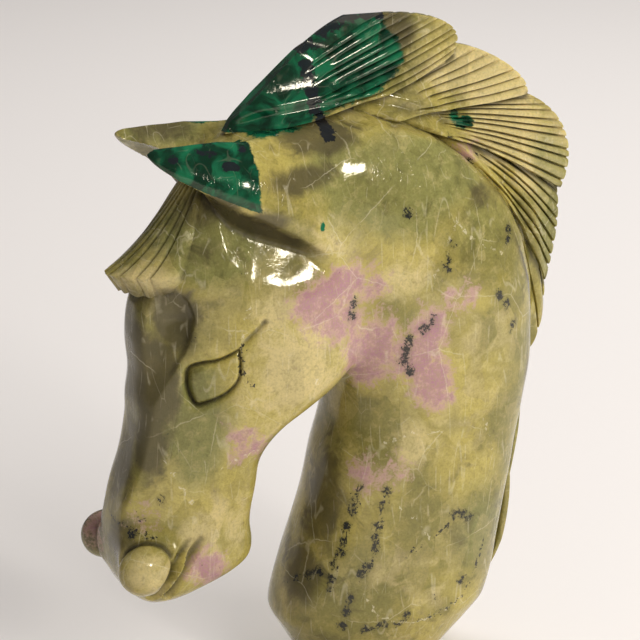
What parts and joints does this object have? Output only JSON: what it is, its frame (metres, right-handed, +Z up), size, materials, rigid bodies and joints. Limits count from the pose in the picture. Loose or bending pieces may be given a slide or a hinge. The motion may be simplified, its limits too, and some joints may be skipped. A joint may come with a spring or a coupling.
{
  "type": "gemstone horse bust",
  "caption": "Horse's head and arched neck carved from one piece of polished mottled green gemstone, with swept-back fluted mane and laid-forward ears; stands on a flat foot as an ornament.",
  "frame": {"origin": "middle of the flat underside, where the bust stands", "axes": "+Z up; the horse faces -X and its mane runs down the +X side; +Y is across the neck, and the two sides mirror each other"},
  "size_m": [0.1817, 0.0567, 0.241],
  "materials": {
    "gemstone": "polished, translucent olive green with cream veins, lilac and emerald patches and black dendrites"
  },
  "bodies": {
    "root": {"horse_bust": "gemstone"}
  },
  "joints": []
}
